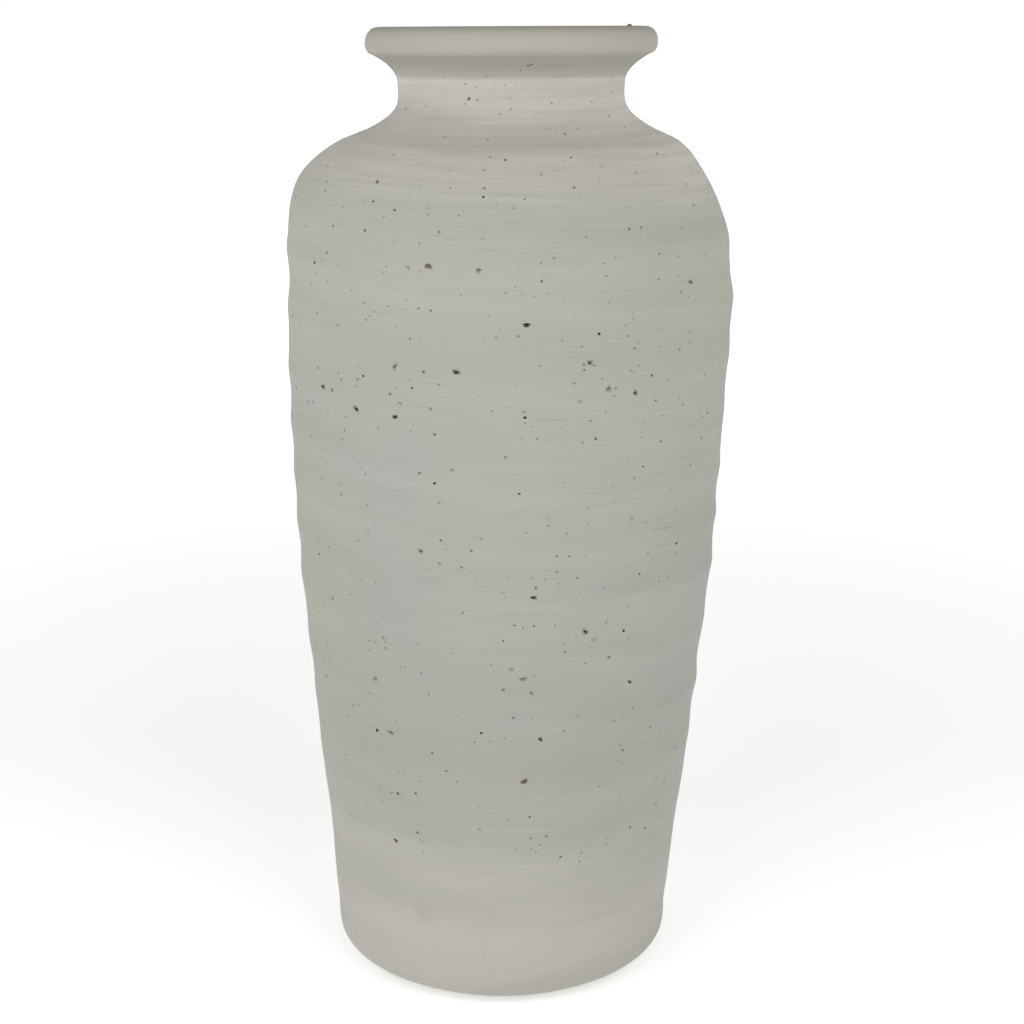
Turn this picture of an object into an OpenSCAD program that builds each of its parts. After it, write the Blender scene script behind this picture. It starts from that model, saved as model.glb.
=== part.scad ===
// Tall hand-thrown stoneware vase, thrown in sections that are luted together with slip.
// Millimetres, +Z up, the origin on the ground under the middle of the foot.

/* [Body] */
// Height of the whole vase, from the ground to the top of the lip
vase_h = 460; // [455:1:465]
// Radius of the wall just above the rounded edge of the foot
foot_r = 84.5; // [80:0.5:90]
// How much the wall leans outwards as it leaves the foot, as a share of its rise
foot_flare = 0.1; // [0:0.01:0.15]
// Radius at the belly, the widest place
belly_r = 106.3; // [100:0.1:112]
// Height of the belly above the ground
belly_z = 327; // [315:1:335]
// Thickness of the clay wall
wall = 8; // [6.5:0.5:9]

/* [Shoulder and neck] */
// Radius where the shoulder turns from a convex to a hollow curve
turn_r = 72.5; // [70:0.5:75]
// Height where the shoulder turns from a convex to a hollow curve
turn_z = 412.3; // [411:0.1:413]
// Steepness of the shoulder at that turn, in degrees away from upright
turn_angle = 62.7; // [58:0.1:65]
// Outside radius of the straight collar, the narrowest place
neck_r = 53; // [51:0.5:54]
// Height at which the straight collar starts
neck_z = 428.5; // [427:0.5:429]
// Length of the straight collar
neck_h = 6; // [5:0.5:7]

/* [Lip] */
// Radius of the lip's outer band
lip_r = 67.8; // [66.5:0.1:69]
// Radius of the lip's crest, its highest circle
crest_r = 60.5; // [59.5:0.5:62]
// Radius of the crisp corner under the lip
lip_under_r = 64; // [63:0.5:65]
// Depth of that corner below the top of the lip
lip_under_drop = 12.9; // [12.5:0.1:13.5]
// Height of the upright band on the lip
band_h = 1.5; // [1:0.1:2.5]
// Height of the rounded top of the lip
lip_round_h = 7; // [6:0.5:7.5]

/* [Foot] */
// Width of the rounded edge of the foot
foot_edge_w = 6.5; // [4:0.5:8]
// Height of the rounded edge of the foot
foot_edge_h = 7; // [5:0.5:9]
// Width of the flat ring that the vase stands on
foot_ring_w = 20; // [19:0.5:24]
// Depth of the trimmed recess inside the foot ring
recess_d = 3.5; // [2:0.5:4]
// Thickness of the clay floor over the foot ring
floor_t = 11; // [10:0.5:14]
// Radius of each felt pad
pad_r = 9; // [7:0.5:9.5]
// Thickness of each felt pad
pad_t = 2; // [1.5:0.5:3]

/* [Joints and glaze] */
// Place of the lower joint, as a share of the wall's rise from foot to belly
lower_joint = 0.46; // [0.35:0.01:0.6]
// Place of the upper joint, as a share of the curve from the belly to the turn of the shoulder
upper_joint = 0.085; // [0.05:0.005:0.2]
// Place of the neck joint, as a share of the same curve
neck_joint = 0.94; // [0.9:0.01:0.97]
// Place of the joint under the lip, as a share of the curve from the collar to the lip
rim_joint = 0.66; // [0.6:0.01:0.7]
// Depth of the groove in the lower piece of each joint
groove_d = 3; // [2.5:0.1:3.5]
// Length of the tongue on the upper piece of each joint
tongue_d = 2.4; // [2:0.1:2.4]
// Thickness of the glaze lining the inside
glaze_t = 0.6; // [0.4:0.1:1.2]

/* [Hidden] */
$fn = 180;

clay_grey = [0.73, 0.72, 0.68];
slip_grey = [0.66, 0.64, 0.60];
glaze_white = [0.86, 0.85, 0.80];
felt_grey = [0.42, 0.41, 0.39];

// Heights and radii that follow from the driving dimensions
wall_z = pad_t + foot_edge_h;
rise = belly_z - wall_z;
collar_top = neck_z + neck_h;
lip_under_z = vase_h - lip_under_drop;
band_top = vase_h - lip_round_h;
band_bottom = band_top - band_h;
floor_z = pad_t + floor_t;
ring_out = foot_r - foot_edge_w;
ring_in = ring_out - foot_ring_w;
recess_slope = 2 * recess_d;
pad_ring_r = ring_out - foot_ring_w / 2;

// The rounded corner between floor and wall: its start on the wall and its end on the floor
inner_corner_at = 0.05;
inner_corner_r = foot_r - wall - 12;
lip_under_angle = 62;

// The outside of the vase is four curves, each with two ends and two handles, as [radius, height]
WALL = 0;
SHOULDER = 1;
HOLLOW = 2;
THROAT = 3;
turn_way = [-sin(turn_angle), cos(turn_angle)];
lip_way = [sin(lip_under_angle), cos(lip_under_angle)];
turn = [turn_r, turn_z];
lip_under = [lip_under_r, lip_under_z];
curves = [
    [
        [foot_r, wall_z],
        [foot_r + foot_flare * rise * 0.31, wall_z + rise * 0.31],
        [belly_r, belly_z - rise * 0.31],
        [belly_r, belly_z]
    ],
    [[belly_r, belly_z], [belly_r, belly_z + 51], turn - 32 * turn_way, turn],
    [turn, turn + 4.2 * turn_way, [neck_r, neck_z - 11], [neck_r, neck_z]],
    [[neck_r, collar_top], [neck_r, collar_top + 5.5], lip_under - 7 * lip_way, lip_under]
];

// A point on a cubic curve with its ends and handles in c, and the way that the curve runs there
function at(c, t) = pow(1 - t, 3) * c[0] + 3 * pow(1 - t, 2) * t * c[1]
    + 3 * (1 - t) * t * t * c[2] + pow(t, 3) * c[3];
function way(c, t) = let (
    d = pow(1 - t, 2) * (c[1] - c[0]) + 2 * (1 - t) * t * (c[2] - c[1]) + t * t * (c[3] - c[2])
) d / norm(d);

// A point at place t of an outside curve, set in by depth and then moved up along the wall by lift
function skin(k, t, depth = 0, lift = 0) = let (
    w = way(curves[k], t)
) at(curves[k], t) + depth * [-w[1], w[0]] + lift * w;

// Points from place a to place b of an outside curve, set in by depth
function run(k, a, b, n, depth = 0) = [for (i = [0 : n]) skin(k, a + (b - a) * i / n, depth)];

// Points along a free curve, without its first end
function sweep(c, n) = [for (i = [1 : n]) at(c, i / n)];

function backwards(p) = [for (i = [len(p) - 1 : -1 : 0]) p[i]];

// The groove and the tongue of a joint, from the outside of the wall to the inside
function groove(k, t) = [
    skin(k, t, wall * 0.30),
    skin(k, t, wall * 0.38, -groove_d),
    skin(k, t, wall * 0.62, -groove_d),
    skin(k, t, wall * 0.70)
];
function tongue(k, t) = [
    skin(k, t, wall * 0.36),
    skin(k, t, wall * 0.42, -tongue_d),
    skin(k, t, wall * 0.58, -tongue_d),
    skin(k, t, wall * 0.64)
];

// The inside of the vase from the floor up the wall, set in by depth from the outside
function floor_corner(depth) = let (
    top = skin(WALL, inner_corner_at, depth),
    low = [inner_corner_r, floor_z + depth - wall]
) [low, [low[0] + 8, low[1]], [top[0] - 0.5, top[1] - 7], top];
function inside_low(depth) = let (c = floor_corner(depth)) concat(
    [[0, c[0][1]], c[0]],
    sweep(c, 6),
    run(WALL, inner_corner_at, lower_joint, 6, depth)
);

module turned(points) {
    rotate_extrude() polygon(points);
}

// The bottom: a foot ring round a shallow recess, the floor and the lower wall
module base_section() {
    foot_edge = [
        [ring_out, pad_t],
        [ring_out + foot_edge_w * 0.55, pad_t],
        [foot_r, wall_z - foot_edge_h * 0.55],
        [foot_r, wall_z]
    ];
    color(clay_grey) turned(concat(
        [[0, pad_t + recess_d], [ring_in - recess_slope, pad_t + recess_d], [ring_in, pad_t]],
        [[ring_out, pad_t]],
        sweep(foot_edge, 8),
        [for (i = [1 : 8]) skin(WALL, lower_joint * i / 8)],
        groove(WALL, lower_joint),
        backwards(inside_low(wall))
    ));
}

// The middle ring of wall, which carries the belly
module middle_section() {
    color(clay_grey) turned(concat(
        run(WALL, lower_joint, 1, 9),
        [for (i = [1 : 2]) skin(SHOULDER, upper_joint * i / 2)],
        groove(SHOULDER, upper_joint),
        run(SHOULDER, upper_joint, 0, 2, wall),
        [for (i = [8 : -1 : 0]) skin(WALL, lower_joint + (1 - lower_joint) * i / 9, wall)],
        backwards(tongue(WALL, lower_joint))
    ));
}

// The shoulder, closing in towards the neck
module shoulder_section() {
    color(clay_grey) turned(concat(
        run(SHOULDER, upper_joint, neck_joint, 18),
        groove(SHOULDER, neck_joint),
        run(SHOULDER, neck_joint, upper_joint, 18, wall),
        backwards(tongue(SHOULDER, upper_joint))
    ));
}

// The neck: the hollow curve off the shoulder, the straight collar and the throat
module neck_section() {
    color(clay_grey) turned(concat(
        run(SHOULDER, neck_joint, 1, 2),
        [for (i = [1 : 10]) skin(HOLLOW, i / 10)],
        run(THROAT, 0, rim_joint, 6),
        groove(THROAT, rim_joint),
        run(THROAT, rim_joint, 0, 6, wall),
        run(HOLLOW, 1, 0, 10, wall),
        [for (i = [1 : -1 : 0]) skin(SHOULDER, neck_joint + (1 - neck_joint) * i / 2, wall)],
        backwards(tongue(SHOULDER, neck_joint))
    ));
}

// The thick rolled lip: a crisp corner under an upright band, and a rounded crest
module rim_coil() {
    inner = skin(THROAT, rim_joint, wall);
    inner_way = way(curves[THROAT], rim_joint);
    crest = [crest_r, vase_h];
    under_corner = [lip_under, lip_under + 2.4 * lip_way, [lip_r, band_bottom - 2], [lip_r, band_bottom]];
    round_top = [
        [lip_r, band_top],
        [lip_r, band_top + lip_round_h * 0.6],
        crest + [(lip_r - crest_r) * 0.6, 0],
        crest
    ];
    inner_edge = [crest, crest - [3.5, 0], inner + 3 * inner_way, inner];
    color(clay_grey) turned(concat(
        run(THROAT, rim_joint, 1, 4),
        sweep(under_corner, 6),
        [[lip_r, band_top]],
        sweep(round_top, 9),
        sweep(inner_edge, 7),
        backwards(tongue(THROAT, rim_joint))
    ));
}

// Slip filling what the tongue leaves open in the groove of one joint
module joint_slip(k, t) {
    color(slip_grey) turned(concat(groove(k, t), backwards(tongue(k, t))));
}

// The glaze: a thin lining on the floor, the wall, the shoulder and the collar
function lining(depth) = concat(
    inside_low(depth),
    [for (i = [1 : 9]) skin(WALL, lower_joint + (1 - lower_joint) * i / 9, depth)],
    [for (i = [1 : 2]) skin(SHOULDER, upper_joint * i / 2, depth)],
    [for (i = [1 : 18]) skin(SHOULDER, upper_joint + (neck_joint - upper_joint) * i / 18, depth)],
    [for (i = [1 : 2]) skin(SHOULDER, neck_joint + (1 - neck_joint) * i / 2, depth)],
    [for (i = [1 : 10]) skin(HOLLOW, i / 10, depth)],
    run(THROAT, 0, rim_joint, 6, depth)
);
module inner_glaze() {
    color(glaze_white) turned(concat(lining(wall), backwards(lining(wall + glaze_t))));
}

// A round felt pad under the foot ring, at an angle round the foot
module felt_pad(angle) {
    color(felt_grey) rotate([0, 0, angle]) translate([pad_ring_r, 0, 0]) cylinder(r = pad_r, h = pad_t);
}

base_section();
middle_section();
shoulder_section();
neck_section();
rim_coil();
joint_slip(WALL, lower_joint);  // lower_joint_slip
joint_slip(SHOULDER, upper_joint);  // upper_joint_slip
joint_slip(SHOULDER, neck_joint);  // neck_joint_slip
joint_slip(THROAT, rim_joint);  // rim_joint_slip
inner_glaze();
felt_pad(-135);  // front_left_felt_pad
felt_pad(-45);  // front_right_felt_pad
felt_pad(135);  // back_left_felt_pad
felt_pad(45);  // back_right_felt_pad
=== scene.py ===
"""A tall hand-thrown stoneware vase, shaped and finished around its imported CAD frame. Metres, +Z up."""

import math

import bmesh
import bpy
import numpy as np
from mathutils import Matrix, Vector


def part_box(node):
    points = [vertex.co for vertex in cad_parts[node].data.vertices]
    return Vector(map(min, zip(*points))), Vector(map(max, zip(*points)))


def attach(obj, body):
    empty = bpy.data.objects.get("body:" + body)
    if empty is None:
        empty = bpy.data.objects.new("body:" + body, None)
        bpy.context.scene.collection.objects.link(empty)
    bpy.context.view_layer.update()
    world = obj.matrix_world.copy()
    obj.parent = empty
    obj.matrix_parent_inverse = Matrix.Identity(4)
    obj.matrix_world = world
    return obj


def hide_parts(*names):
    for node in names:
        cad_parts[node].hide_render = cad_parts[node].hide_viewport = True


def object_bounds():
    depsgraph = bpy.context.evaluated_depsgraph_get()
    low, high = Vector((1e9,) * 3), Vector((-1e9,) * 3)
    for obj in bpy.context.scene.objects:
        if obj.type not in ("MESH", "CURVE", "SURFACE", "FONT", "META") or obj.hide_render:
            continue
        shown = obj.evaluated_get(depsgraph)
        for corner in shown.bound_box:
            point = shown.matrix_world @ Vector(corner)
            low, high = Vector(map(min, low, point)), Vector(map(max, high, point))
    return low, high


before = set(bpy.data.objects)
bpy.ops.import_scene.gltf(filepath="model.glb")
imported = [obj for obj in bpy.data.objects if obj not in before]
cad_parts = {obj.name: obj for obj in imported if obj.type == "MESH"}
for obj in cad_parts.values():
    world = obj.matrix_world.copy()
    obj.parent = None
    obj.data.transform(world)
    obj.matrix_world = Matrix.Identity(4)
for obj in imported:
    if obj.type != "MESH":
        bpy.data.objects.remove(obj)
cad_low, cad_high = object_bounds()

MM = 0.001
SEED = 41
VASE_HEIGHT = cad_high.z

# The CAD nodes that the visible pieces replace. The turned ones go from the ground up
SECTIONS = ["base_section", "middle_section", "shoulder_section", "neck_section", "rim_coil"]
SLIPS = ["lower_joint_slip", "upper_joint_slip", "neck_joint_slip", "rim_joint_slip"]
GLAZE = "inner_glaze"
PADS = ["front_left_felt_pad", "front_right_felt_pad", "back_left_felt_pad", "back_right_felt_pad"]

# How finely the turned pieces are divided, round their axis and along their outline
SIDES = 400
HIDDEN_SIDES = 200
SKIN_STEP = 1.5 * MM
LIP_STEP = 0.6 * MM
INSIDE_STEP = 5.0 * MM
SEAM_STEP = 0.15 * MM
SKIN_LINE_STEP = 0.5 * MM

# How outlines are read: the turn that makes a corner, how close two equal circles lie,
# and how deep below the skin a point still belongs to it
CORNER_TURN = math.radians(20)
SAME_CIRCLE = 0.05 * MM
ON_SKIN = 0.03 * MM

# The potter's spiral of throwing ridges: one ridge each turn, rising anticlockwise seen from above
RIDGE_FIRST = 118 * MM
RIDGE_PITCH = 27.9 * MM
RIDGE_BUNCH = 0.30
RIDGE_BUNCH_HEIGHT = 205 * MM
RIDGE_BUNCH_SPREAD = 45 * MM
RIDGE_DEPTH = 0.38 * MM

# The random drifts of the wall cover this much of the skin's length, which is more than it has
DRIFT_LENGTH = 0.8

# Where the hands left the outline fuller or leaner, in mm:
# height, spread, rise on the left and rise on the right
SWELLS = [
    (3.2, 2.2, -1.4, -0.9),
    (10, 7, 0.9, 0.7),
    (62, 24, -0.9, -1.1),
    (205, 34, 0.75, 0.75),
    (336, 17, -0.5, 0.9),
    (374, 15, 0.8, 0.5),
    (397, 6, -0.3, -0.5),
    (412.8, 3.2, -1.0, -1.0),
    (441, 7, 0.4, 0.4),
    (450, 5, 0.4, 0.1),
]

# The crisp edge under the lip's band
LIP_EDGE_HEIGHT = 448.3 * MM
LIP_EDGE_SPREAD = 2.2 * MM
LIP_EDGE_RISE = 0.32 * MM

# The vase stands a little out of true: its rings tip down to the right, and its axis leans that way
RING_TIP = 0.047
LIP_TIP = -0.004
LEAN = 5.8 * MM

# Where its rings were pushed aside as well: height, spread and shift to the right, in mm
SHIFTS = [
    (0, 14, 0.7),
    (325, 30, 0.5),
    (394, 16, -1.0),
    (419, 9, 0.6),
]

# The crest of the lip was wiped a little lower than its outline
CREST_WIPE = -0.6 * MM
CREST_SPREAD = 5 * MM

# Pits strewn by chance: how many, and the share of them that lie near the one before
STREWN = 90
GROUPED = 0.35

# The camera is level with the lip. Its distance is in heights of the vase
CAMERA_DISTANCE = 1.8
CAMERA_TILT = math.radians(15.7)
CAMERA_ASIDE = 3 * MM
CAMERA_DROP = 1 * MM
CAMERA_LENS = 60.64

# How far round a pit its ragged outline and raised edge may reach, in radii
PIT_ROOM = 4

# The mesh is divided once more inside each of these, in radii of the pit, with a little to spare
REFINE_MARGINS = (1.9, 1.5, 1.25)
REFINE_EXTRA = 0.5 * MM

SOFTBOX_SIZE = 1.6
SOFTBOX_DISTANCE = 2.2
FLOOR_SIZE = 600.0


# ---- Outlines from the frame ----


def turned_circles(mesh):
    """The circles of a turned mesh, as (radius, height), and for each the circles next to it."""
    co = np.empty(len(mesh.vertices) * 3)
    mesh.vertices.foreach_get("co", co)
    co = co.reshape(-1, 3)
    spots = np.column_stack((np.hypot(co[:, 0], co[:, 1]), co[:, 2]))
    circle = np.full(len(spots), -1)
    circles = []
    while (circle < 0).any():
        spot = spots[circle < 0][0]
        circle[np.abs(spots - spot).max(axis=1) < SAME_CIRCLE] = len(circles)
        circles.append(spot)
    ends = np.empty(len(mesh.edges) * 2, int)
    mesh.edges.foreach_get("vertices", ends)
    beside = [set() for _ in circles]
    for a, b in set(map(tuple, circle[ends.reshape(-1, 2)])):
        if a != b:
            beside[a].add(b)
            beside[b].add(a)
    return np.array(circles), beside


def outline_of(mesh):
    """A turned mesh's outline in order, anticlockwise in the (radius, height) plane.

    It ends on the axis, or where it began.
    """
    circles, beside = turned_circles(mesh)
    loose = [i for i, near in enumerate(beside) if len(near) == 1]
    path = [min(loose, key=lambda i: circles[i][1]) if loose else 0]
    while True:
        onward = [i for i in sorted(beside[path[-1]]) if i not in path]
        if not onward:
            break
        path.append(onward[0])
    points = circles[path]
    if loose:
        return np.vstack(([0, points[0][1]], points, [0, points[-1][1]]))
    ahead = np.roll(points, -1, axis=0)
    if (points[:, 0] * ahead[:, 1] - ahead[:, 0] * points[:, 1]).sum() < 0:
        points = points[::-1]
    first = int(np.argmax(turns_at(np.vstack((points[-1:], points, points[:1])))))
    points = np.roll(points, -first, axis=0)
    return np.vstack((points, points[:1]))


def turns_at(points):
    """How sharply a line of points turns at each point but the two at its ends, in radians."""
    way = np.diff(points, axis=0)
    heading = np.arctan2(way[:, 1], way[:, 0])
    return np.abs((np.diff(heading) + math.pi) % (2 * math.pi) - math.pi)


def runs_of(points):
    """The smooth runs of an outline, from corner to corner."""
    corners = [i + 1 for i, turn in enumerate(turns_at(points)) if turn > CORNER_TURN]
    cuts = [0, *corners, len(points) - 1]
    return [points[a : b + 1] for a, b in zip(cuts, cuts[1:])]


def headings(run, before=None, after=None):
    """The way a smooth run goes at each of its points.

    before and after are the next points beyond its ends, if it has any.
    """
    points = run
    if before is not None:
        points = np.vstack((before, points))
    if after is not None:
        points = np.vstack((points, after))
    step = np.diff(points, axis=0)
    length = np.linalg.norm(step, axis=1, keepdims=True)
    way = step / length
    a, b = length[:-1], length[1:]
    share = b / (a + b)
    share = np.where(a > 3 * b, 1.0, np.where(b > 3 * a, 0.0, share))
    middle = way[:-1] * share + way[1:] * (1 - share)
    middle /= np.linalg.norm(middle, axis=1, keepdims=True)
    if len(middle):
        first = 2 * (middle[0] @ way[0]) * way[0] - middle[0]
        last = 2 * (middle[-1] @ way[-1]) * way[-1] - middle[-1]
    else:
        first, last = way[0], way[-1]
    every = np.vstack((first, middle, last))
    start = 0 if before is None else 1
    return every[start : start + len(run)]


def curve_through(run, step, before=None, after=None, seam=0.0):
    """Points at most step apart on a smooth curve through a run's points.

    If seam is set, the first and the last step are that short.
    """
    way = headings(run, before, after)
    made = [run[:1]]
    for i in range(len(run) - 1):
        a, b = run[i], run[i + 1]
        chord = np.linalg.norm(b - a)
        t = np.linspace(0, 1, max(1, math.ceil(chord / step)) + 1)[1:]
        if seam and i == 0:
            t = np.concatenate(([seam / chord], t))
        if seam and i == len(run) - 2:
            t = np.concatenate((t[:-1], [1 - seam / chord, 1]))
        t = t[:, None]
        made.append(
            (2 * t**3 - 3 * t**2 + 1) * a
            + (t**3 - 2 * t**2 + t) * chord * way[i]
            + (3 * t**2 - 2 * t**3) * b
            + (t**3 - t**2) * chord * way[i + 1]
        )
    return np.vstack(made)


class Skin:
    """The outside of the whole vase as one smooth line, from the foot ring to the inside of the lip."""

    def __init__(self, outlines):
        self.runs = {}
        for name in SECTIONS:
            # The outside is the smooth run that reaches furthest out, or the longer of two that tie
            runs = [r for r in runs_of(outlines[name]) if len(r) > 3]
            self.runs[name] = max(runs, key=lambda r: r[:, 0].max() + 0.01 * len(r) * MM)
        ordered = [self.runs[name] for name in SECTIONS]
        self.before = {}
        self.after = {}
        for i, name in enumerate(SECTIONS):
            self.before[name] = ordered[i - 1][-2] if i else None
            self.after[name] = ordered[i + 1][1] if i + 1 < len(SECTIONS) else None
        line = [self.smooth(name, SKIN_LINE_STEP) for name in SECTIONS]
        self.line = np.vstack([line[0]] + [part[1:] for part in line[1:]])
        step = np.diff(self.line, axis=0)
        length = np.linalg.norm(step, axis=1)
        self.along = np.concatenate(([0], np.cumsum(length)))
        way = np.gradient(self.line, self.along, axis=0)
        self.out = np.column_stack((way[:, 1], -way[:, 0]))
        self.out /= np.linalg.norm(self.out, axis=1, keepdims=True)
        self.crest = int(np.argmax(self.line[:, 1]))

    def smooth(self, name, step, seam=0.0):
        return curve_through(self.runs[name], step, self.before[name], self.after[name], seam)

    def nearest(self, points):
        """How far along the skin each point's nearest place is, and how deep the point lies below it."""
        start, step = self.line[:-1], np.diff(self.line, axis=0)
        length = np.diff(self.along)
        offset = points[:, None, :] - start[None, :, :]
        share = np.clip((offset * step).sum(axis=2) / length**2, 0, 1)
        gap = np.linalg.norm(offset - share[:, :, None] * step, axis=2)
        best = gap.argmin(axis=1)
        each = np.arange(len(points))
        return self.along[best] + share[each, best] * length[best], gap[each, best]

    def height(self, along):
        return np.interp(along, self.along, self.line[:, 1])

    def radius(self, along):
        return np.interp(along, self.along, self.line[:, 0])

    def at_height(self, height):
        """How far along the skin the outside of the wall reaches a height."""
        upward = slice(0, self.crest + 1)
        return np.interp(height, self.line[upward, 1], self.along[upward])


# ---- How the clay strays from its smooth outline ----


def drift(turn, along, cells, row, seed):
    """Smooth random values from -1 to 1 over the wall, the same again after a whole turn."""
    rows = int(DRIFT_LENGTH / row) + 4
    grid = np.random.default_rng(SEED + seed).uniform(-1, 1, (rows, cells))
    u, v = (turn % 1.0) * cells, along / row + 1
    i, j = np.floor(u).astype(int), np.floor(v).astype(int)
    s, t = u - i, v - j
    s, t = s * s * (3 - 2 * s), t * t * (3 - 2 * t)
    i, nxt = i % cells, (i + 1) % cells
    low = grid[j, i] * (1 - s) + grid[j, nxt] * s
    high = grid[j + 1, i] * (1 - s) + grid[j + 1, nxt] * s
    return low * (1 - t) + high * t


def smooth_step(low, high, value):
    t = np.clip((value - low) / (high - low), 0, 1)
    return t * t * (3 - 2 * t)


def hump(value, middle, spread):
    return np.exp(-(((value - middle) / spread) ** 2))


def ridge_phase(turn, height):
    """How many turns of the spiral lie below a place. A ridge crest is at each whole number."""
    bunch = RIDGE_BUNCH * hump(height, RIDGE_BUNCH_HEIGHT, RIDGE_BUNCH_SPREAD)
    return (height - RIDGE_FIRST) / RIDGE_PITCH - bunch + turn


def ridges(turn, height):
    """The spiral's section, from -1 in a finger groove to 1 on a crest."""
    wave = np.sin(math.pi * ridge_phase(turn, height))
    return 1.15 - 2 * np.sqrt(wave**2 + 0.10)


def skin_rise(turn, along, skin):
    """How far the outer skin stands out from its smooth outline."""
    height = skin.height(along)
    on_wall = smooth_step(85 * MM, 125 * MM, height) * (1 - smooth_step(375 * MM, 405 * MM, height))
    strong = 1 + 0.8 * hump(height, 180 * MM, 50 * MM)
    strong = strong * (1 + 0.8 * drift(turn, along, 5, 34 * MM, 1))
    strong = strong + 0.7 * hump(height, 338 * MM, 16 * MM)
    rise = ridges(turn, height) * strong * RIDGE_DEPTH * on_wall
    above_foot = smooth_step(10 * MM, 40 * MM, height)
    below_lip = 1 - smooth_step(436 * MM, 446 * MM, height)
    rise += 0.22 * MM * drift(turn, along, 6, 26 * MM, 2) * above_foot * below_lip
    rise += 0.07 * MM * drift(turn, along, 9, 6 * MM, 3) * above_foot * below_lip
    rise += 0.10 * MM * drift(turn, along, 7, 20 * MM, 4) * (1 - below_lip)
    outside = along < skin.along[skin.crest]
    clear_of_ground = smooth_step(2.02 * MM, 2.3 * MM, height)
    rightness = np.cos(2 * math.pi * turn)
    for middle, spread, left, right in SWELLS:
        amount = (left + right) / 2 + (right - left) / 2 * rightness
        rise += amount * MM * hump(height, middle * MM, spread * MM) * outside * clear_of_ground
    from_edge = np.abs(along - skin.at_height(LIP_EDGE_HEIGHT)) / LIP_EDGE_SPREAD
    rise += LIP_EDGE_RISE * np.clip(1 - from_edge, 0, 1)
    rise += CREST_WIPE * hump(along, skin.along[skin.crest], CREST_SPREAD)
    return rise


def out_of_round(turn, height):
    """How far the whole wall stands out from a true circle."""
    angle = 2 * math.pi * turn
    free = smooth_step(0, 60 * MM, height)
    oval = 0.35 * np.cos(2 * angle + 0.9 + height / (160 * MM))
    three_sided = 0.18 * np.cos(3 * angle - height / (90 * MM))
    return free * MM * (oval + three_sided)


def ring_tip(height):
    """How steeply the rings tip at a height."""
    on_body = smooth_step(12 * MM, 62 * MM, height) * (1 - smooth_step(384 * MM, 413 * MM, height))
    return RING_TIP * on_body + LIP_TIP * smooth_step(425 * MM, 440 * MM, height)


def settle(co):
    """Tips the rings and leans the axis of points anywhere in the clay."""
    x, y, z = co.T
    lean = LEAN * (z / VASE_HEIGHT - 0.5)
    for middle, spread, amount in SHIFTS:
        lean += amount * MM * hump(z, middle * MM, spread * MM)
    return np.column_stack((x + lean, y, z - ring_tip(z) * x))


# ---- Grit and the pits that it leaves ----


class Pit:
    """One pit or standing grain: its place on the skin, its ragged outline and its tone."""

    def __init__(self, rng, turn, along, radius, tone, rust=0.0, depth=None):
        self.turn = turn
        self.along = along
        self.radius = radius
        self.tone = tone
        self.rust = rust
        self.depth = radius * rng.uniform(0.5, 0.8) if depth is None else depth
        self.heading = rng.uniform(-0.6, 0.6)
        self.stretch = rng.uniform(1.0, 1.5)
        self.lobes = [(n, rng.uniform(0.2, 0.5) / n, rng.uniform(0, 2 * math.pi)) for n in (2, 3, 5)]

    def reach(self, turn, along, skin):
        """Each point's distance from the pit's middle as a share of the distance to its edge."""
        aside = ((turn - self.turn + 0.5) % 1.0 - 0.5) * 2 * math.pi * skin.radius(self.along)
        up = along - self.along
        c, s = math.cos(self.heading), math.sin(self.heading)
        a, b = (aside * c + up * s) / self.stretch, (up * c - aside * s) * self.stretch
        angle = np.arctan2(b, a)
        edge = 1 + sum(size * np.cos(n * angle + phase) for n, size, phase in self.lobes)
        return np.hypot(a, b) / (self.radius * edge)


def tipped_height(azimuth, height, skin):
    """The height before the rings tip of a place seen at a height on the finished wall."""
    x = skin.radius(skin.at_height(height)) * math.cos(math.radians(azimuth))
    return height + ring_tip(height) * x


def chosen_pits(rng, skin):
    """The few large grains and pits that give this vase its face."""
    # Azimuth in degrees, height and width in mm, tone and rust. The azimuths and heights are not
    # chosen by hand: a scratch script that looked for dark specks in the photo printed them
    places = [
        (-84, 124, 2.6, 0.75, 0.5),
        (-86, 338, 2.2, 1.0, 0.0),
        (-109, 362, 2.5, 0.75, 0.9),
        (-80, 145, 1.7, 1.0, 0.0),
        (-83, 216, 1.8, 1.0, 0.0),
        (-124, 84, 2.0, 0.9, 0.6),
        (-41, 351, 1.9, 0.8, 0.3),
        (-54, 167, 1.8, 0.9, 0.3),
        (-69, 197, 1.7, 1.0, 0.0),
        (-85, 176, 2.6, 0.25, 0.0),
        (-128, 141, 1.6, 1.0, 0.0),
        (-71, 321, 1.6, 0.9, 0.0),
        (-66, 309, 1.9, 0.6, 0.8),
        (-97, 361, 1.7, 0.6, 0.1),
        (-126, 395, 1.9, 0.6, 0.0),
        (-123, 142, 2.2, 0.4, 0.0),
    ]
    pits = []
    for azimuth, height, width, tone, rust in places:
        turn = azimuth / 360
        along = skin.at_height(tipped_height(azimuth, height * MM, skin))
        pits.append(Pit(rng, turn, along, width * MM / 2, tone, rust))
    return pits


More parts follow.
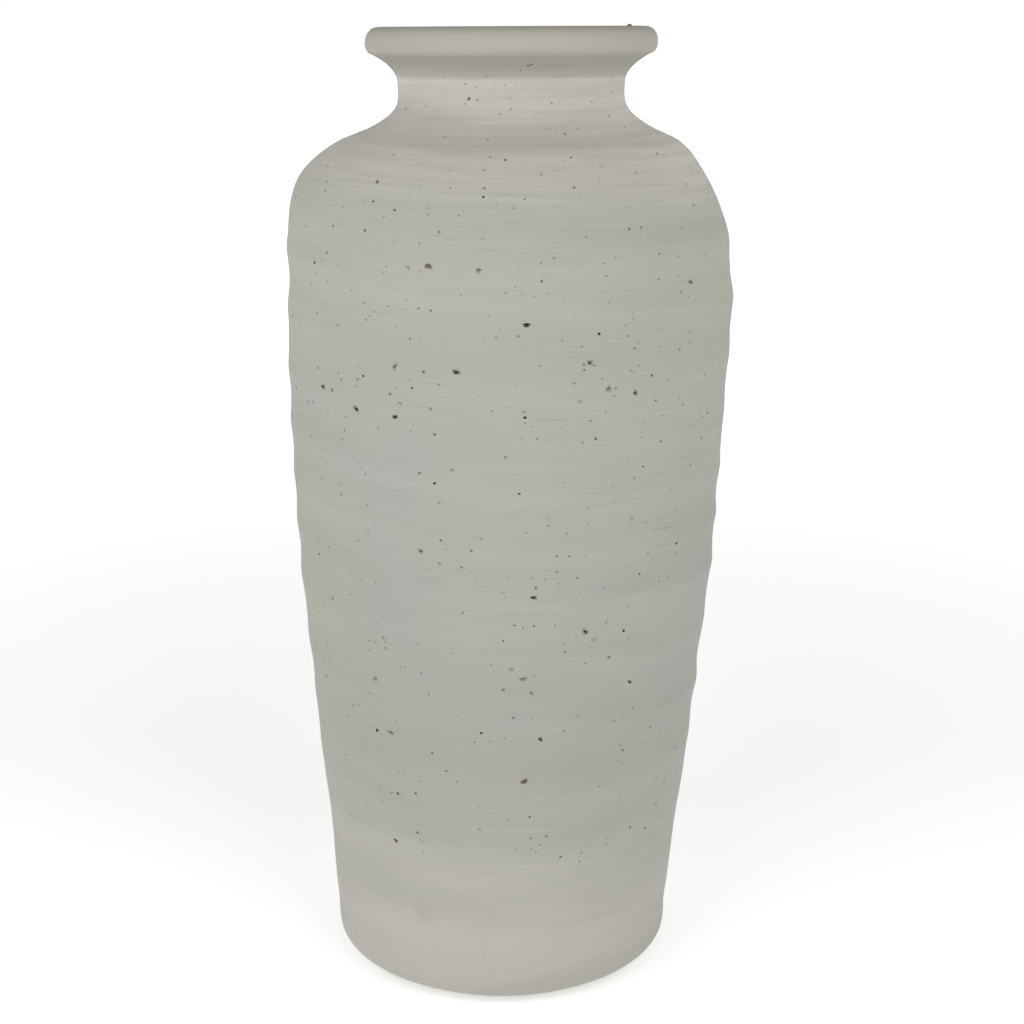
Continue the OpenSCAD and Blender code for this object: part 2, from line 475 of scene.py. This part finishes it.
def strewn_pits(rng, skin, count):
    """Pits strewn over the wall by chance, some in loose groups, fewer low down, none on foot or lip."""
    low, high = skin.at_height(72 * MM), skin.at_height(432 * MM)
    pits = []
    while len(pits) < count:
        turn, along = rng.uniform(), rng.uniform(low, high)
        if pits and rng.uniform() < GROUPED:
            turn = pits[-1].turn + rng.normal(0, 0.022)
            along = np.clip(pits[-1].along + rng.normal(0, 9 * MM), low, high)
        height = skin.height(along)
        likely = 0.25 + 0.75 * smooth_step(70 * MM, 150 * MM, height)
        if height > 330 * MM:
            likely = 1.0
        if rng.uniform() > likely * skin.radius(along) / (106 * MM):
            continue
        radius = MM * (0.42 + 0.60 * rng.uniform() ** 2.5)
        tone = 1.0 if rng.uniform() < 0.45 else rng.uniform(0.3, 0.8)
        rust = rng.uniform(0.4, 1.0) if rng.uniform() < 0.15 else 0.0
        pits.append(Pit(rng, turn, along, radius, tone, rust))
    return pits


def lip_grain(rng, skin):
    """The dark grain that stands on the crest of the lip."""
    return Pit(rng, -30 / 360, skin.along[skin.crest], 1.1 * MM, 1.0, 0.2, depth=-0.75 * MM)


def pit_rise(reach, pit):
    """A pit's steep wall, rough floor and slightly raised edge, or a standing grain's dome."""
    if pit.depth < 0:
        return -pit.depth * np.sqrt(np.clip(1 - reach**2, 0, 1))
    bowl = -pit.depth * (1 - smooth_step(0.35, 1.0, reach))
    lip = 0.05 * MM * np.exp(-(((reach - 1.15) / 0.22) ** 2))
    return bowl + lip


# ---- Meshes ----


def revolve(outline, corners, sides):
    """A turned shape's vertices, faces and sharp edges, and the outline point of each vertex."""
    angle = np.arange(sides) * 2 * math.pi / sides
    poles = outline[:, 0] < 1e-9
    closed = not poles.any()
    rows = outline[:-1] if closed else outline
    first = []
    spots = []
    source = []
    for i, (r, z) in enumerate(rows):
        first.append(len(spots))
        if r < 1e-9:
            spots.append((0, 0, z))
            source.append(i)
            continue
        spots.extend(zip(r * np.cos(angle), r * np.sin(angle), [z] * sides))
        source.extend([i] * sides)
    faces = []
    here, after = np.arange(sides), (np.arange(sides) + 1) % sides
    for i in range(len(outline) - 1):
        low, high = first[i], first[(i + 1) % len(rows)]
        if poles[i]:
            faces.extend(zip([low] * sides, high + after, high + here))
        elif poles[(i + 1) % len(rows)]:
            faces.extend(zip(low + here, low + after, [high] * sides))
        else:
            faces.extend(zip(low + here, low + after, high + after, high + here))
    sharp = {(min(a, b), max(a, b)) for i in corners for a, b in zip(first[i] + here, first[i] + after)}
    return np.array(spots), faces, sharp, np.array(source)


def layer(mesh, name, values):
    """Stores a number or a vector at each vertex for the materials to read."""
    kind, field = ("FLOAT", "value") if values.ndim == 1 else ("FLOAT_VECTOR", "vector")
    attribute = mesh.attributes.get(name) or mesh.attributes.new(name, kind, "POINT")
    attribute.data.foreach_set(field, values.astype(np.float32).ravel())


def read_layer(mesh, name):
    values = np.empty(len(mesh.vertices), np.float32)
    mesh.attributes[name].data.foreach_get("value", values)
    return values.astype(float)


def coordinates(mesh):
    co = np.empty(len(mesh.vertices) * 3, np.float32)
    mesh.vertices.foreach_get("co", co)
    return co.reshape(-1, 3).astype(float)


def refine(mesh, pits, skin):
    """Divides the faces round each pit, finer towards its middle, so that its edge is real geometry."""
    if not pits:
        return
    bm = bmesh.new()
    bm.from_mesh(mesh)
    along_layer = bm.verts.layers.float["along"]
    depth_layer = bm.verts.layers.float["depth"]
    for margin in REFINE_MARGINS:
        spots = np.array([(*v.co, v[along_layer], v[depth_layer]) for v in bm.verts])
        turn = np.arctan2(spots[:, 1], spots[:, 0]) / (2 * math.pi)
        near = np.zeros(len(spots), bool)
        for pit in pits:
            close = np.abs(spots[:, 3] - pit.along) < PIT_ROOM * pit.radius
            close &= spots[:, 4] < ON_SKIN
            place = np.nonzero(close)[0]
            reach = pit.reach(turn[place], spots[place, 3], skin)
            near[place[reach < margin + REFINE_EXTRA / pit.radius]] = True
        bm.verts.index_update()
        edges = [e for e in bm.edges if near[e.verts[0].index] and near[e.verts[1].index]]
        bmesh.ops.subdivide_edges(bm, edges=edges, cuts=1, use_grid_fill=True)
    bm.to_mesh(mesh)
    bm.free()


def piece_object(name, mesh, material):
    """Puts a finished mesh in the scene, in place of the CAD node that its name comes from."""
    mesh.polygons.foreach_set("use_smooth", [True] * len(mesh.polygons))
    mesh.materials.append(material)
    made = bpy.data.objects.new("visual_" + name, mesh)
    bpy.context.scene.collection.objects.link(made)
    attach(made, "root")
    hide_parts(name)
    return made


def turned_piece(name, outline, skin, pits, material):
    """One clay section, slip ring or glaze lining, turned from its CAD outline and shaped by hand."""
    section = name in SECTIONS
    sides = SIDES if section else HIDDEN_SIDES
    outer = skin.runs.get(name)
    parts = []
    corners = []
    for run in runs_of(outline):
        if section and len(run) == len(outer) and np.allclose(run, outer):
            part = skin.smooth(name, LIP_STEP if name == "rim_coil" else SKIN_STEP, SEAM_STEP)
        else:
            part = curve_through(run, INSIDE_STEP)
        corners.append(sum(len(p) - 1 for p in parts))
        parts.append(part)
    line = np.vstack([parts[0]] + [part[1:] for part in parts[1:]])
    along, depth = skin.nearest(line)
    spots, faces, sharp, source = revolve(line, corners, sides)
    mesh = bpy.data.meshes.new(name)
    mesh.from_pydata(spots.tolist(), [], [tuple(map(int, f)) for f in faces])
    ends = np.empty(len(mesh.edges) * 2, int)
    mesh.edges.foreach_get("vertices", ends)
    marks = [(min(a, b), max(a, b)) in sharp for a, b in ends.reshape(-1, 2).tolist()]
    mesh.edges.foreach_set("use_edge_sharp", marks)
    layer(mesh, "along", along[source])
    layer(mesh, "depth", depth[source])
    lowest = along[depth < ON_SKIN].min(initial=math.inf)
    highest = along[depth < ON_SKIN].max(initial=-math.inf)
    mine = []
    for pit in pits:
        room = PIT_ROOM * pit.radius
        if section and lowest - room < pit.along < highest + room:
            mine.append(pit)
    refine(mesh, mine, skin)
    give_hand_made_shape(mesh, skin, mine)
    return piece_object(name, mesh, material)


def give_hand_made_shape(mesh, skin, pits):
    """Moves a turned mesh's vertices to the thrown wall, and stores what the materials read."""
    rest = coordinates(mesh)
    along, depth = read_layer(mesh, "along"), read_layer(mesh, "depth")
    turn = np.arctan2(rest[:, 1], rest[:, 0]) / (2 * math.pi)
    radius = np.hypot(rest[:, 0], rest[:, 1])
    fade = 1 - smooth_step(0.5 * MM, 6 * MM, depth)
    rise = skin_rise(turn, along, skin) * fade
    dark, rust = np.zeros(len(rest)), np.zeros(len(rest))
    on_skin = depth < ON_SKIN
    for pit in pits:
        place = np.nonzero(on_skin & (np.abs(along - pit.along) < PIT_ROOM * pit.radius))[0]
        reach = pit.reach(turn[place], along[place], skin)
        place, reach = place[reach < 2], reach[reach < 2]
        rise[place] += pit_rise(reach, pit)
        stain = 1 - smooth_step(0.9, 1.25, reach)
        dark[place] = np.maximum(dark[place], pit.tone * stain)
        rust[place] = np.maximum(rust[place], pit.rust * stain)
    out_r = np.interp(along, skin.along, skin.out[:, 0])
    out_z = np.interp(along, skin.along, skin.out[:, 1])
    grown = radius + out_r * rise + out_of_round(turn, rest[:, 2]) * smooth_step(0, 20 * MM, radius)
    angle = 2 * math.pi * turn
    co = np.column_stack((grown * np.cos(angle), grown * np.sin(angle), rest[:, 2] + out_z * rise))
    co[radius < 1e-6, :2] = 0
    mesh.vertices.foreach_set("co", settle(co).astype(np.float32).ravel())
    layer(mesh, "rest", rest)
    layer(mesh, "dark", dark)
    layer(mesh, "rust", rust)
    mesh.update()


def felt_pad_piece(name, material):
    """A punched felt disc with a soft edge, slightly uneven from the punch."""
    low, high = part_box(name)
    middle = (low + high) / 2
    radius, thick = (high.x - low.x) / 2, high.z - low.z
    edge = 0.45 * thick
    rim = []
    for step in range(7):
        a = math.pi / 2 * step / 6
        rim.append((radius - edge + edge * math.sin(a), edge - edge * math.cos(a)))
    upper = [(r, thick - z) for r, z in reversed(rim)]
    flat = [(radius * share, 0.0) for share in (0, 0.25, 0.5, 0.75)]
    outline = np.array(flat + rim + upper + [(r, thick) for r, _ in reversed(flat)])
    spots, faces, _, _ = revolve(outline, [], 96)
    turn = np.arctan2(spots[:, 1], spots[:, 0]) / (2 * math.pi)
    share = np.hypot(spots[:, 0], spots[:, 1]) / radius
    wobble = 1 + 0.012 * drift(turn, spots[:, 2] * 40, 17, 30 * MM, 7) * share**6
    spots[:, :2] *= wobble[:, None] * 0.985
    spots += middle - Vector((0, 0, thick / 2))
    mesh = bpy.data.meshes.new(name)
    mesh.from_pydata(settle(spots).tolist(), [], [tuple(map(int, f)) for f in faces])
    layer(mesh, "rest", spots)
    return piece_object(name, mesh, material)


# ---- Materials ----


class Paint:
    """One material, with short calls that add shader nodes and join them up. Sizes are in metres."""

    def __init__(self, name):
        self.material = bpy.data.materials.new(name)
        self.material.use_nodes = True
        self.nodes = self.material.node_tree.nodes
        self.links = self.material.node_tree.links
        self.shader = self.nodes["Principled BSDF"]

    def add(self, kind, inputs=(), **settings):
        node = self.nodes.new(kind)
        for key, value in settings.items():
            setattr(node, key, value)
        for key, value in dict(inputs).items():
            self.join(value, node.inputs[key])
        return node

    def join(self, value, socket):
        if isinstance(value, bpy.types.NodeSocket):
            self.links.new(value, socket)
        else:
            socket.default_value = value

    def stored(self, name, output="Fac"):
        return self.add("ShaderNodeAttribute", attribute_name=name).outputs[output]

    def stretched(self, vector, scale):
        node = self.add("ShaderNodeVectorMath", {0: vector, 1: scale}, operation="MULTIPLY")
        return node.outputs[0]

    def shifted(self, vector, wobble, amount):
        """vector moved about by a noise colour, at most half of amount each way."""
        half = (0.5, 0.5, 0.5)
        centred = self.add("ShaderNodeVectorMath", {0: wobble, 1: half}, operation="SUBTRACT")
        scaled = self.add("ShaderNodeVectorMath", {0: centred.outputs[0]}, operation="SCALE")
        scaled.inputs["Scale"].default_value = amount
        node = self.add("ShaderNodeVectorMath", {0: vector, 1: scaled.outputs[0]}, operation="ADD")
        return node.outputs[0]

    def noise(self, vector, size, detail=2.0, roughness=0.5, output="Fac"):
        inputs = {"Vector": vector, "Scale": 1 / size, "Detail": detail, "Roughness": roughness}
        return self.add("ShaderNodeTexNoise", inputs).outputs[output]

    def grains(self, vector, size):
        """The distance in metres to the nearest of many scattered points, and its random colour."""
        node = self.add("ShaderNodeTexVoronoi", {"Vector": vector, "Scale": 1 / size})
        distance = self.math("MULTIPLY", node.outputs["Distance"], size)
        return distance, node.outputs["Color"]

    def math(self, operation, a, b=0.0):
        return self.add("ShaderNodeMath", {0: a, 1: b}, operation=operation).outputs[0]

    def ramp(self, value, low, high, start=0.0, end=1.0):
        """start where value is low, end where it is high, with a smooth change between."""
        inputs = {"Value": value, "From Min": low, "From Max": high, "To Min": start, "To Max": end}
        return self.add("ShaderNodeMapRange", inputs, interpolation_type="SMOOTHSTEP").outputs[0]

    def split(self, colour):
        return self.add("ShaderNodeSeparateColor", {"Color": colour}).outputs

    def mix(self, share, a, b):
        node = self.add("ShaderNodeMix", data_type="RGBA")
        for socket, value in zip((node.inputs[0], node.inputs[6], node.inputs[7]), (share, a, b)):
            self.join(value, socket)
        return node.outputs[2]

    def bump(self, height, distance, normal=None):
        """Raises the surface by up to distance where height is 1."""
        node = self.add("ShaderNodeBump", {"Height": height, "Distance": distance})
        if normal is not None:
            self.join(normal, node.inputs["Normal"])
        return node.outputs[0]

    def set(self, **inputs):
        for key, value in inputs.items():
            self.join(value, self.shader.inputs[key.replace("_", " ")])


def grey(level, warmth=0.0, red=0.0):
    return (level * (1 + warmth + red), level, level * (1 - warmth), 1)


# The clay's own colours, which the matt surface shows, and the painted light and shade on the collar,
# foot and lip
CLAY_COOL = (0.411, 0.408, 0.386, 1)
CLAY_WARM = (0.426, 0.426, 0.372, 1)
CLAY_PINK = (0.434, 0.406, 0.368, 1)
# Painted light on the foot
FOOT_PAINTED_LIGHT = (0.620, 0.590, 0.536, 1)
# Painted light on the collar and upper shoulder
COLLAR_PAINTED_LIGHT = (0.663, 0.631, 0.574, 1)
CLAY_SHADE = (0.360, 0.361, 0.325, 1)
CLAY_LIP = (0.395, 0.370, 0.318, 1)
# Painted shade under the lip and on its top rounding
LIP_PAINTED_SHADE = (0.290, 0.274, 0.233, 1)
CLAY_OLIVE = (0.345, 0.305, 0.225, 1)

# Where a finger smudged the foot
SMUDGE = (-37 * MM, -79 * MM, 46 * MM)
SMUDGE_SPREAD = 9 * MM


def speckles(paint, place, size, small, large, share):
    """A mask of grains between two radii, on a share of the scattered points, and each grain's tone."""
    distance, colour = paint.grains(place, size)
    chance = paint.split(colour)
    radius = paint.ramp(paint.math("POWER", chance[0], 1.6), 0, 1, small, large)
    shown = paint.math("LESS_THAN", chance[1], share)
    edge = paint.math("DIVIDE", distance, radius)
    mask = paint.math("MULTIPLY", paint.ramp(edge, 0.75, 1.15, 1.0, 0.0), shown)
    return mask, chance[2]


def stoneware():
    """Dry, matt, pale grey stoneware: warm and cool clouds, wheel streaks, iron grit and pinholes, with
    painted light at the neck and foot and painted shade at the lip.
    """
    paint = Paint("stoneware")
    rest = paint.stored("rest", "Vector")
    height = paint.add("ShaderNodeSeparateXYZ", {0: rest}).outputs[2]
    # Broad clouds of warmer, cooler and pinker clay
    clouds = paint.noise(rest, 0.06, 4)
    colour = paint.mix(paint.ramp(clouds, 0.30, 0.56), CLAY_COOL, CLAY_WARM)
    pink = paint.ramp(paint.noise(paint.stretched(rest, (1, 1, 2.2)), 0.075, 3), 0.56, 0.78, 0.0, 0.4)
    colour = paint.mix(pink, colour, CLAY_PINK)
    # Painted light: the collar and the top of the shoulder are painted paler, standing in for the light
    # that falls and bounces there
    collar_light_top = paint.ramp(height, 0.436, 0.444, 1.0, 0.0)
    collar_painted_light = paint.math("MULTIPLY", paint.ramp(height, 0.372, 0.415), collar_light_top)
    colour = paint.mix(collar_painted_light, colour, COLLAR_PAINTED_LIGHT)
    # Painted light: the foot is painted paler, fading out by 135 mm up, standing in for light bounced up
    # from the floor
    colour = paint.mix(paint.ramp(height, 0.030, 0.135, 0.50, 0.0), colour, FOOT_PAINTED_LIGHT)
    # Streaks and bands that the wheel left
    streaks = paint.noise(paint.stretched(rest, (1, 1, 26)), 0.07, 4, 0.6)
    combed = paint.ramp(height, 0.04, 0.11, 0.08, 0.40)
    streaked = paint.math("MULTIPLY", paint.ramp(streaks, 0.3, 0.7), combed)
    bands = paint.noise(paint.stretched(rest, (1, 1, 6)), 0.16, 2)
    colour = paint.mix(streaked, colour, CLAY_SHADE)
    colour = paint.mix(paint.ramp(bands, 0.35, 0.65, 0.0, 0.40), colour, CLAY_SHADE)
    # A faint olive smudge on the foot
    away = paint.add("ShaderNodeVectorMath", {0: rest, 1: SMUDGE}, operation="DISTANCE").outputs["Value"]
    smudge = paint.ramp(away, 0.0, SMUDGE_SPREAD, 0.5, 0.0)
    smudge = paint.math("MULTIPLY", smudge, paint.noise(rest, 0.004, 3))
    colour = paint.mix(smudge, colour, CLAY_OLIVE)
    # Painted shade on the band just under the lip and on the lip's top rounding; the lip's band itself is
    # darker
    under_lip_shade_top = paint.ramp(height, 0.4465, 0.4480, 0.4, 0.0)
    under = paint.math("MULTIPLY", paint.ramp(height, 0.4365, 0.4385), under_lip_shade_top)
    colour = paint.mix(under, colour, LIP_PAINTED_SHADE)
    colour = paint.mix(paint.ramp(height, 0.4465, 0.4485, 0.0, 0.6), colour, CLAY_LIP)
    # Painted shade on the top rounding of the lip
    colour = paint.mix(paint.ramp(height, 0.4560, 0.4600, 0.0, 0.7), colour, LIP_PAINTED_SHADE)
    grain = paint.noise(rest, 0.0011, 2, 0.7)
    colour = paint.mix(paint.ramp(grain, 0.35, 0.75, 0.0, 0.22), colour, grey(0.36, 0.06))
    # Grit: many soft grey grains, fewer black or rusty ones
    wobble = paint.noise(rest, 0.0012, 2, 0.6, output="Color")
    place = paint.shifted(paint.stretched(rest, (1, 1, 1.25)), wobble, 0.0011)
    bare = paint.ramp(height, 0.066, 0.085)
    bare = paint.math("MULTIPLY", bare, paint.ramp(height, 0.4445, 0.4465, 1.0, 0.0))
    crowds = paint.ramp(paint.noise(rest, 0.035, 2), 0.38, 0.62, 0.55, 1.35)
    often = paint.math("MULTIPLY", crowds, paint.ramp(height, 0.27, 0.36, 0.62, 1.15))
    seldom = paint.math("MULTIPLY", crowds, 0.5)
    soft, soft_tone = speckles(paint, place, 0.0047, 0.00034, 0.00074, often)
    hard, hard_tone = speckles(paint, place, 0.0078, 0.00036, 0.00080, seldom)
    soft = paint.math("MULTIPLY", soft, bare)
    soft = paint.math("MULTIPLY", soft, paint.ramp(soft_tone, 0, 1, 0.3, 0.85))
    hard = paint.math("MULTIPLY", hard, bare)
    hard = paint.math("MULTIPLY", hard, paint.ramp(hard_tone, 0, 0.5, 0.6, 1.0))
    colour = paint.mix(soft, colour, grey(0.11, 0.08))
    colour = paint.mix(hard, colour, grey(0.02, 0.1, 0.1))
    # The large pits and grains, which are modelled
    crumbs = paint.ramp(paint.noise(rest, 0.0006, 2), 0.3, 0.7, 0.75, 1.0)
    dark = paint.math("MULTIPLY", paint.stored("dark"), crumbs)
    iron = paint.mix(paint.stored("rust"), grey(0.012, 0.1), (0.170, 0.058, 0.050, 1))
    colour = paint.mix(dark, colour, iron)
    paint.set(Base_Color=colour)
    # A dry surface, a little smoother where the wheel pressed it
    paint.set(Roughness=paint.ramp(streaks, 0.3, 0.7, 0.94, 0.80))
    paint.shader.inputs["Specular IOR Level"].default_value = 0.3
    combing = paint.noise(paint.stretched(rest, (1, 1, 30)), 0.045, 3)
    normal = paint.bump(paint.ramp(combing, 0, 1), 0.00012)
    normal = paint.bump(grain, 0.00006, normal)
    holes = paint.math("MAXIMUM", soft, hard)
    normal = paint.bump(paint.math("SUBTRACT", 1.0, holes), 0.00025, normal)
    # Hair-thin scratches where the wheel dragged grit along
    bent = paint.shifted(rest, paint.noise(rest, 0.03, 2, output="Color"), 0.0012)
    scratches, deep = speckles(paint, paint.stretched(bent, (1, 1, 22)), 0.026, 0.003, 0.011, 0.3)
    scratches = paint.math("MULTIPLY", paint.math("MULTIPLY", scratches, bare), deep)
    normal = paint.bump(paint.math("SUBTRACT", 1.0, scratches), 0.00012, normal)
    paint.set(Normal=normal)
    return paint.material


def slip():
    """The slip that lutes the sections: the same clay, finer and a little darker."""
    paint = Paint("slip")
    rest = paint.stored("rest", "Vector")
    cloud = paint.noise(rest, 0.006, 4, 0.6)
    paint.set(Base_Color=paint.mix(cloud, grey(0.31, 0.06), grey(0.37, 0.07)))
    paint.set(Roughness=paint.ramp(cloud, 0.3, 0.7, 0.95, 0.85))
    paint.set(Normal=paint.bump(paint.noise(rest, 0.0015, 3), 0.0001))
    return paint.material


def inside_glaze():
    """A clear cream glaze: glossy, pooled unevenly and finely speckled by the clay under it."""
    paint = Paint("liner_glaze")
    rest = paint.stored("rest", "Vector")
    pool = paint.noise(paint.stretched(rest, (1, 1, 0.5)), 0.05, 3)
    colour = paint.mix(pool, grey(0.60, 0.08), grey(0.48, 0.10))
    wobble = paint.noise(rest, 0.0015, 2, 0.6, output="Color")
    mask, tone = speckles(paint, paint.shifted(rest, wobble, 0.001), 0.007, 0.0002, 0.0008, 0.6)
    specks = paint.math("MULTIPLY", mask, paint.ramp(tone, 0, 1, 0.3, 0.8))
    colour = paint.mix(specks, colour, grey(0.12, 0.25))
    paint.set(Base_Color=colour)
    paint.set(Roughness=paint.ramp(pool, 0.3, 0.7, 0.12, 0.22))
    rolls = paint.noise(paint.stretched(rest, (1, 1, 5)), 0.06, 2)
    normal = paint.bump(rolls, 0.0004)
    normal = paint.bump(paint.noise(rest, 0.0025, 2), 0.00004, normal)
    paint.set(Normal=normal)
    return paint.material


def felt():
    """Dark grey pressed felt, with fibres a little lighter than the mass."""
    paint = Paint("felt")
    rest = paint.stored("rest", "Vector")
    bend = paint.noise(rest, 0.002, 2, 0.5, output="Color")
    fibres = paint.noise(paint.shifted(rest, bend, 0.004), 0.0006, 4, 0.7)
    colour = paint.mix(paint.ramp(fibres, 0.35, 0.7), grey(0.075, 0.05), grey(0.19, 0.05))
    paint.set(Base_Color=colour, Roughness=paint.ramp(fibres, 0.3, 0.7, 0.9, 1.0))
    paint.shader.inputs["Sheen Weight"].default_value = 0.5
    paint.set(Normal=paint.bump(fibres, 0.0003))
    return paint.material


# ---- Studio ----


def floor_piece():
    """A wide pale floor, faintly lit from within like a light table."""
    mesh = bpy.data.meshes.new("studio_floor")
    half = FLOOR_SIZE / 2
    corners = [(-half, -half, 0), (half, -half, 0), (half, half, 0), (-half, half, 0)]
    mesh.from_pydata(corners, [], [(0, 1, 2, 3)])
    floor = bpy.data.objects.new("studio_floor", mesh)
    bpy.context.scene.collection.objects.link(floor)
    paint = Paint("pale_floor")
    rest = paint.add("ShaderNodeTexCoord").outputs["Object"]
    paint.set(Base_Color=paint.mix(paint.noise(rest, 0.9, 2), grey(0.93), grey(0.96)))
    paint.set(Roughness=0.9)
    paint.shader.inputs["Specular IOR Level"].default_value = 0.1
    paint.shader.inputs["Emission Color"].default_value = (1, 1, 1, 1)
    far = paint.add("ShaderNodeVectorMath", {0: rest}, operation="LENGTH").outputs["Value"]
    paint.set(Emission_Strength=paint.ramp(far, 0.4, 1.9, 0.40, 0.9))
    mesh.materials.append(paint.material)


def studio_world():
    """A white horizon under a pale wall, which is bright behind the vase and dimmer in front of it."""
    world = bpy.data.worlds.new("studio")
    world.use_nodes = True
    bpy.context.scene.world = world
    nodes, links = world.node_tree.nodes, world.node_tree.links
    place = nodes.new("ShaderNodeTexCoord")
    split = nodes.new("ShaderNodeSeparateXYZ")
    links.new(place.outputs["Generated"], split.inputs[0])
    ramps = []
    # The wall's brightness from front to back, and the horizon's from the ground up
    for source, low, high, start, end in ((1, -0.2, 0.8, 0.13, 0.75), (2, 0.02, 0.12, 1.0, 0.0)):
        ramp = nodes.new("ShaderNodeMapRange")
        ramp.interpolation_type = "SMOOTHSTEP"
        for key, value in {"From Min": low, "From Max": high, "To Min": start, "To Max": end}.items():
            ramp.inputs[key].default_value = value
        links.new(split.outputs[source], ramp.inputs["Value"])
        ramps.append(ramp)
    wall, horizon = ramps
    links.new(wall.outputs[0], horizon.inputs["To Max"])
    links.new(horizon.outputs[0], nodes["Background"].inputs["Strength"])
    nodes["Background"].inputs["Color"].default_value = (1, 1, 1, 1)


def soft_light(name, azimuth, elevation, power, target):
    """A large square softbox that faces target. Azimuth 0 is in front, and positive is to the right."""
    light = bpy.data.lights.new(name, "AREA")
    light.size = SOFTBOX_SIZE
    light.energy = power
    lamp = bpy.data.objects.new(name, light)
    bpy.context.scene.collection.objects.link(lamp)
    a, e = math.radians(azimuth), math.radians(elevation)
    back = Vector((math.sin(a) * math.cos(e), -math.cos(a) * math.cos(e), math.sin(e)))
    lamp.location = target + back * SOFTBOX_DISTANCE
    lamp.rotation_mode = "QUATERNION"
    lamp.rotation_quaternion = back.to_track_quat("Z", "Y")


def studio_camera():
    """Level with the lip, looking down at the middle of the vase."""
    data = bpy.data.cameras.new("camera")
    data.sensor_width = 36
    data.lens = CAMERA_LENS
    camera = bpy.data.objects.new("camera", data)
    bpy.context.scene.collection.objects.link(camera)
    camera.location = (CAMERA_ASIDE, -CAMERA_DISTANCE * VASE_HEIGHT, VASE_HEIGHT - CAMERA_DROP)
    camera.rotation_euler = (math.pi / 2 - CAMERA_TILT, 0, 0)
    bpy.context.scene.camera = camera


# ---- The scene ----

outlines = {name: outline_of(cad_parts[name].data) for name in [*SECTIONS, *SLIPS, GLAZE]}
skin = Skin(outlines)
rng = np.random.default_rng(SEED)
pits = [*chosen_pits(rng, skin), *strewn_pits(rng, skin, STREWN), lip_grain(rng, skin)]

clay = stoneware()
for name in SECTIONS:
    turned_piece(name, outlines[name], skin, pits, clay)
joint_clay = slip()
for name in SLIPS:
    turned_piece(name, outlines[name], skin, pits, joint_clay)
turned_piece(GLAZE, outlines[GLAZE], skin, pits, inside_glaze())
pad_felt = felt()
for name in PADS:
    felt_pad_piece(name, pad_felt)

floor_piece()
studio_world()
middle = Vector((0, 0, VASE_HEIGHT * 0.5))
soft_light("high_left_light", -40, 40, 13.5, middle)
soft_light("high_right_light", 40, 40, 16.5, middle)
soft_light("low_left_light", -50, 5, 5.5, middle)
soft_light("side_light", -80, 5, 2.5, middle)
studio_camera()
bpy.context.scene.view_settings.view_transform = "Standard"
